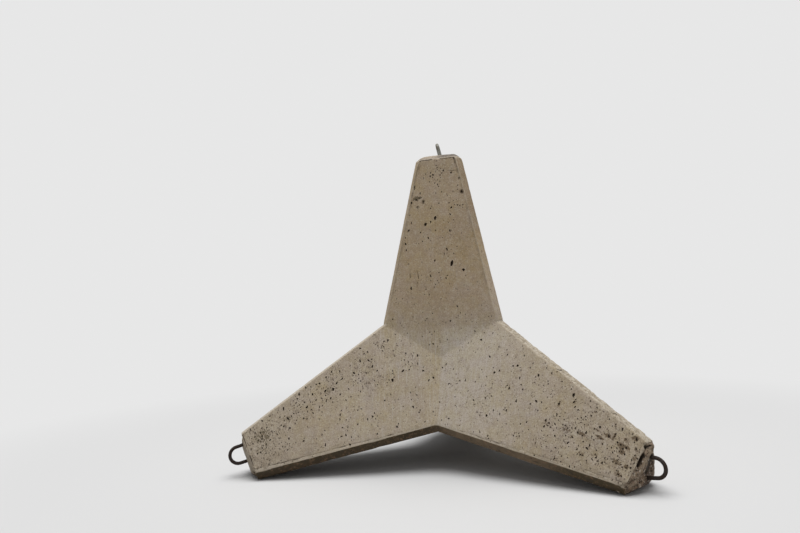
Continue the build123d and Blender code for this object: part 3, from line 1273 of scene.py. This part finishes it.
        # Painted shade: faces that look down take this dark damp brown in place of the shade they lack under
        # the lamp
        damp_and_shade = self.mix(self.between(self.x, -0.15, 0.15), DAMP_AND_SHADE_LEFT, DAMP_AND_SHADE_MIDDLE)
        damp_and_shade = self.mix(self.between(self.x, 0.68, 1.00), damp_and_shade, DAMP_AND_SHADE_RIGHT)
        damp_and_shade = self.mix(self.between(self.dirt, 0.66, 0.40), damp_and_shade, DAMP_TINT, "MULTIPLY")
        damp_and_shade = self.coats(
            damp_and_shade,
            (self.patches(34.0, 5.0, 0.75, 0.53, 0.60, 0.0, 0.5), RED_SPOT),
            (self.patches(21.0, 5.0, 0.70, 0.44, 0.34, 0.0, 0.75), WET_SPOT),
        )
        return self.coats(color, (low, EARTH), (self.product(self.under, 0.97), damp_and_shade))

    def right_end(self, color):
        """The right arm's rough, dirty end: paler to the front and higher up, with red and whitish grit."""
        lumps = self.patches(38.0, 6.0, 0.78, 0.42, 0.52)
        forward = self.less(self.product(self.x, 0.5), self.product(self.y, 0.866))
        paler = (self.between(forward, 1.385, 1.405), self.between(self.height, 0.08, 0.20, 0.55, 1.0))
        end_color = self.coats(
            self.mix(lumps, END_DARK, END_BROWN),
            (self.product(lumps, *paler), END_PALE),
            (self.patches(95.0, 3.0, 0.7, 0.55, 0.62, 0.0, 0.65), END_RED),
            (self.patches(70.0, 3.0, 0.7, 0.58, 0.64, 0.0, 0.85), END_WHITE),
        )
        amount = self.product(self.rough_end, self.between(self.edge, 0.1, 0.9, 0.97, 0.60))
        return self.mix(amount, color, end_color)

    def edges_and_rim(self, color):
        """Pale worn edges with a painted highlight, not on edges that face down, and the grey rim of the
        upright arm's end with dirt on its right.
        """
        # Painted highlight along worn edges that do not face down
        worn_edge_highlight = self.product(
            self.between(self.edge, 0.15, 0.9),
            self.between(self.dirt, 0.30, 0.50),
            self.between(self.facing["Z"], -0.35, 0.1, 0.0, 0.7),
            self.less(1.0, self.rough_end),
        )
        rim = self.product(self.end, self.between(self.height, 2.32, 2.34))
        grey = self.product(rim, 0.55)
        rim_dirt = self.product(
            rim,
            self.between(self.height, 2.342, 2.354),
            self.between(self.x, -0.03, 0.04),
            self.patches(55.0, 4.0, 0.7, 0.38, 0.60, 0.55, 0.95),
        )
        return self.coats(color, (worn_edge_highlight, WORN_EDGE_HIGHLIGHT), (grey, RIM_GREY), (rim_dirt, RIM_DIRT))

    def dots(self, vector, scale, few):
        """Small dots, one in each cell of a scatter whose own random value is over few."""
        cells = self.new("ShaderNodeTexVoronoi", {"Vector": vector, "Scale": scale}, feature="F1")
        pick = self.new("ShaderNodeSeparateColor", {0: cells.outputs["Color"]}).outputs[0]
        dot = self.between(cells.outputs["Distance"], 0.32, 0.18)
        return self.product(dot, self.math("GREATER_THAN", pick, few))

    def pin_holes(self):
        """Round pin holes, and longer ones down the slope, more of both where there are more bug holes."""
        round_ones = self.dots(self.place, 105.0, self.between(self.pitting, 0.05, 0.9, 0.86, 0.50))
        down_the_slope = self.stretched(self.run, 0.012, 0.030)
        long_ones = self.dots(down_the_slope, 1.0, self.between(self.pitting, 0.10, 0.95, 0.97, 0.66))
        return self.math("MAXIMUM", round_ones, long_ones)

    def holes(self, color):
        """Dark pin holes, and black in the bug holes and marks: dirt, with painted shade in place of the
        shade inside them.
        """
        # Painted shade: the insides of pin holes, bug holes and marks are coloured dark
        black = self.between(self.hole, 0.02, 0.55, 0.0, 0.96)
        return self.coats(color, (self.product(self.pins, 0.80), PIN_HOLE_DIRT_AND_SHADE), (black, BLACK_DIRT_AND_SHADE))

    def relief(self):
        """Coarse relief, more of it on washed strips and the right arm's end, then grain and pin holes."""
        rougher = self.math("MAXIMUM", self.washed_and_lit, self.rough_end)
        coarse = self.product(rougher, self.less(self.noise(self.place, 75.0, 4.0, 0.65), 0.5), 3.0)
        lumpy = self.bump(self.total(self.noise(self.place, 60.0, 4.0, 0.6), coarse), 0.004, 0.55)
        grain = self.less(self.noise(self.place, 420.0, 3.0, 0.7), self.product(self.pins, 1.4))
        return self.bump(grain, 0.0016, 0.8, Normal=lumpy)


def cast_concrete_finish():
    """Old cast concrete: cream to brown clouds, run-off marks, sandy specks, pits dark with dirt and painted
    shade, damp undersides with painted shade, paler upward strips and edges with painted light.
    """
    n = CastConcrete()
    color = n.clouds()
    over_it = (n.middle_and_ends, n.blotches_and_streaks, n.strips, n.sand, n.stains)
    for layer in (*over_it, n.foot_and_undersides, n.right_end, n.edges_and_rim, n.holes):
        color = layer(color)
    gloss = n.total(n.between(n.cloudy["Patches"], 0.2, 0.8, 0.92, 0.82), n.product(n.under, -0.15))
    n.coat({"Base Color": color, "Roughness": gloss, "Normal": n.relief(), "Specular IOR Level": 0.3})
    return n.material


def bar_steel_finish(name, clean, rust, rust_from, rust_to, metal):
    """Plain round bar: bare steel under more or less rust, darker where the rust is deep."""
    n = Finish(name)
    spots = n.group(MOTTLING, {"Vector": n.place, "Patch Size": 0.05, "Contrast": 1.4})
    rusted = n.between(spots["Patches"], rust_from, rust_to)
    deep = n.noise(n.place, 140.0, 4.0, 0.7)
    rust_color = n.mix(n.between(deep, 0.35, 0.65), tuple(0.55 * c for c in rust), rust)
    flakes = n.total(n.product(deep, 0.7), n.product(n.noise(n.place, 500.0, 3.0, 0.7), 0.3))
    n.coat({
        "Base Color": n.mix(rusted, clean, rust_color),
        "Roughness": n.between(rusted, 0.0, 1.0, 0.55, 0.82),
        "Metallic": n.between(rusted, 0.0, 1.0, metal, 0.0),
        "Specular IOR Level": 0.3,
        "Normal": n.bump(flakes, 0.0012, 0.8),
    })
    return n.material


# Lifting loops: where a leg's bend starts under and over the concrete, and where its points are
BEND_START = 0.012
LEG_POINTS = (LEG_DEPTH - 0.001, 0.3, 0.15, 0.06, 0.03, BEND_START)
# Corners round the bar, and how uneven rolling and rust have left it
BAR_SIDES = 20
BAR_UNEVEN = 0.0004
# Edges sharper than this many degrees stay sharp
SHARP_ON_BARS, SHARP_ON_CONCRETE = 50, 32


def loop_route(seat):
    """Middle line of a loop in the upright arm's end, from the foot of one leg to the foot of the other."""
    tilt, lean, turn, shift = (*(math.radians(angle) for angle in seat[:3]), seat[3])
    bend = Matrix.Rotation(lean, 4, "Y") @ Matrix.Rotation(-tilt, 4, "X")
    half, slope = LOOP_HALF_WIDTH, math.tan(tilt)
    foot = half / math.cos(tilt)
    crown = []
    for angle in np.linspace(0, math.pi, 33):
        crown.append(Vector((0, half * math.cos(angle), LOOP_SIDE + half * math.sin(angle))))
    first = [Vector((0, half, z)) for z in np.linspace(half * slope + BEND_START, LOOP_SIDE, 5)[:-1]]
    last = [Vector((0, -half, z)) for z in np.linspace(LOOP_SIDE, -half * slope + BEND_START, 5)[1:]]
    above = [bend @ p for p in (*first, *crown, *last)]

    def leg(y, over):
        """A leg from its foot up, and a short bend in place of a sharp corner."""
        points = [Vector((0, y, -z)) for z in LEG_POINTS]
        below, knuckle = points[-1], Vector((0, y, 0))
        for t in np.linspace(0, 1, 7)[1:-1]:
            points.append(below.lerp(knuckle, t).lerp(knuckle.lerp(over, t), t))
        return points

    route = [*leg(foot, above[0]), *above, *leg(-foot, above[-1])[::-1]]
    turned = Matrix.Rotation(turn, 4, "Z") @ Matrix.Translation((0, shift, 0))
    place = Matrix.Translation((0, 0, ARM_REACH)) @ turned
    return [place @ p for p in route]


def bar_along(name, route):
    """A round bar along a route, with flat ends and the slight unevenness of rolled and rusted steel."""
    points, faces = [], []
    across_bar = (route[1] - route[0]).normalized().orthogonal().normalized()
    for i, middle in enumerate(route):
        ahead = (route[min(i + 1, len(route) - 1)] - route[max(i - 1, 0)]).normalized()
        across_bar = (across_bar - ahead * across_bar.dot(ahead)).normalized()
        second = ahead.cross(across_bar)
        for k in range(BAR_SIDES):
            turn = math.tau * k / BAR_SIDES
            out = math.cos(turn) * across_bar + math.sin(turn) * second
            uneven = rough(middle + BAR_RADIUS * out, 0.012, 21)
            points.append(middle + out * (BAR_RADIUS - BAR_UNEVEN * (1 + uneven) * 0.5))
    for i in range(len(route) - 1):
        for k in range(BAR_SIDES):
            a, b = i * BAR_SIDES + k, i * BAR_SIDES + (k + 1) % BAR_SIDES
            faces.append((a, b, b + BAR_SIDES, a + BAR_SIDES))
    faces.append(tuple(range(BAR_SIDES))[::-1])
    faces.append(tuple(range((len(route) - 1) * BAR_SIDES, len(route) * BAR_SIDES)))
    data = bpy.data.meshes.new(name)
    data.from_pydata([tuple(p) for p in points], [], faces)
    return new_piece(name, data)


def smooth_shaded(piece, sharp_degrees):
    piece.data.polygons.foreach_set("use_smooth", [True] * len(piece.data.polygons))
    piece.data.set_sharp_from_angle(angle=math.radians(sharp_degrees))
    piece.data.update()


def make_lifting_loops():
    grey = bar_steel_finish("dull_grey_bar", GREY_STEEL, GREY_STEEL_RUST, 0.48, 0.80, 0.20)
    rusty = bar_steel_finish("dark_rusty_bar", DARK_STEEL, DARK_RUST, 0.22, 0.55, 0.0)
    for arm, seat in LOOP_SEATS.items():
        in_place = Matrix.Translation(MEETING_POINT) @ ARM_PLACES[arm]
        piece = bar_along(f"loop_{arm}", [in_place @ p for p in loop_route(seat)])
        piece.data.materials.append(grey if arm == "top" else rusty)
        smooth_shaded(piece, SHARP_ON_BARS)
        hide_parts(f"lifting_loop_{arm}")
        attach(piece, "root")


def make_concrete():
    block = cast_block()
    apply_tree(block, bug_hole_tree(cast_concrete_finish()), BUG_HOLE_SHAPE)
    smooth_shaded(block, SHARP_ON_CONCRETE)
    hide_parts("concrete_block")
    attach(block, "root")


# Floor, light and camera
FLOOR_COLOR = (0.60, 0.60, 0.60)
FAR_COLOR = (0.80, 0.80, 0.80)
SKY_COLOR = (1.0, 1.0, 1.0)
# Where the floor starts to run into the background and where it has, in metres from the block
FADE_START, FADE_END = 2.2, 5.5
SKY_STRENGTH = 0.375
LAMP_HEIGHT, LAMP_SIZE, LAMP_POWER = 12.0, 12.0, 1650
CAMERA_PLACE = (1.1619, -5.0626, 1.2481)
# Yaw, pitch and roll in degrees
CAMERA_TURNS = (-16.966, 2.843, -2.63)
LENS, SENSOR_WIDTH = 29.06, 36.0


def seen_directly(n):
    """1 for what the camera sees, straight or in a mirror or glass."""
    rays = n.new("ShaderNodeLightPath").outputs
    mirrored = n.math("MAXIMUM", rays["Is Glossy Ray"], rays["Is Transmission Ray"])
    return n.math("MAXIMUM", rays["Is Camera Ray"], mirrored)


def make_floor():
    """A plain pale floor, which keeps the block's shadow and runs into the background far away."""
    bpy.ops.mesh.primitive_circle_add(vertices=96, radius=60, fill_type="NGON", location=(0, 0, 0))
    floor = bpy.context.object
    floor.name = "floor"
    n = Finish("pale_floor")
    n.coat({"Base Color": (*FLOOR_COLOR, 1.0), "Roughness": 0.9, "Specular IOR Level": 0.2})
    length = n.new("ShaderNodeVectorMath", {0: n.place}, operation="LENGTH").outputs["Value"]
    far = n.product(n.between(length, FADE_START, FADE_END), seen_directly(n))
    glow = n.new("ShaderNodeEmission", {"Color": (*FAR_COLOR, 1.0)})
    mixed = n.new("ShaderNodeMixShader", {0: far, 1: n.shader.outputs[0], 2: glow.outputs[0]})
    output = next(node for node in n.tree.nodes if node.type == "OUTPUT_MATERIAL")
    n.join(mixed.outputs[0], output.inputs["Surface"])
    floor.data.materials.append(n.material)


def make_light():
    """Even light from all round and one wide lamp high above."""
    world = bpy.data.worlds.new("soft_sky")
    bpy.context.scene.world = world
    world.use_nodes = True
    n = Nodes(world.node_tree)
    background = world.node_tree.nodes["Background"]
    seen = seen_directly(n)
    n.join(n.mix(seen, SKY_COLOR, FAR_COLOR), background.inputs["Color"])
    n.join(n.between(seen, 0.0, 1.0, SKY_STRENGTH, 1.0), background.inputs["Strength"])
    data = bpy.data.lights.new("overhead", "AREA")
    data.shape, data.size, data.energy = "DISK", LAMP_SIZE, LAMP_POWER
    new_piece("overhead", data).location = (0, 0, LAMP_HEIGHT)


def make_camera():
    """The photograph's viewpoint: 5 m in front, a little to the right, 1.25 m up."""
    data = bpy.data.cameras.new("camera")
    data.sensor_width, data.lens = SENSOR_WIDTH, LENS
    camera = new_piece("camera", data)
    yaw, pitch, roll = (math.radians(angle) for angle in CAMERA_TURNS)
    forward = Vector((math.sin(yaw) * math.cos(pitch), math.cos(yaw) * math.cos(pitch), math.sin(pitch)))
    right = Vector((math.cos(yaw), -math.sin(yaw), 0))
    up = right.cross(forward)
    turned_right = math.cos(roll) * right + math.sin(roll) * up
    turned_up = -math.sin(roll) * right + math.cos(roll) * up
    matrix = Matrix((turned_right, turned_up, -forward)).transposed().to_4x4()
    matrix.translation = CAMERA_PLACE
    camera.matrix_world = matrix
    bpy.context.scene.camera = camera


make_camera()
make_concrete()
make_lifting_loops()
make_floor()
make_light()
bpy.context.scene.view_settings.view_transform = "Standard"
